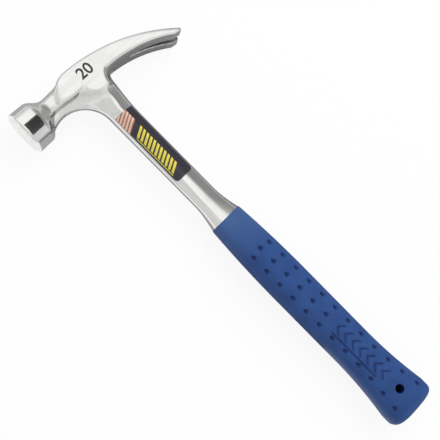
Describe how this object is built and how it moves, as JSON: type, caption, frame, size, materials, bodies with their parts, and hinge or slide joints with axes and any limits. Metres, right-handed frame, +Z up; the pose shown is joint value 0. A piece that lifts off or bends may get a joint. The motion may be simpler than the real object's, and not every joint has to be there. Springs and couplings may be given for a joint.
{
  "type": "rip hammer",
  "caption": "One-piece forged steel rip hammer with a bevelled round poll, split straight claw and ridged shank, and a blue moulded sleeve with rows of pits and a hang hole.",
  "frame": {"origin": "on the floor under the middle of the outline of the hammer, which lies on its side", "axes": "+Y along the handle to the head, +X along the claw away from the striking face, +Z up out of the side that carries the label"},
  "size_m": [0.132, 0.3404, 0.0326],
  "materials": {
    "polished_steel": "polished",
    "blue_vinyl": "moulded satin",
    "label_film": "printed film"
  },
  "bodies": {
    "root": {"steel_forging": "polished_steel", "grip_sleeve": "blue_vinyl", "neck_label": "label_film"}
  },
  "joints": []
}
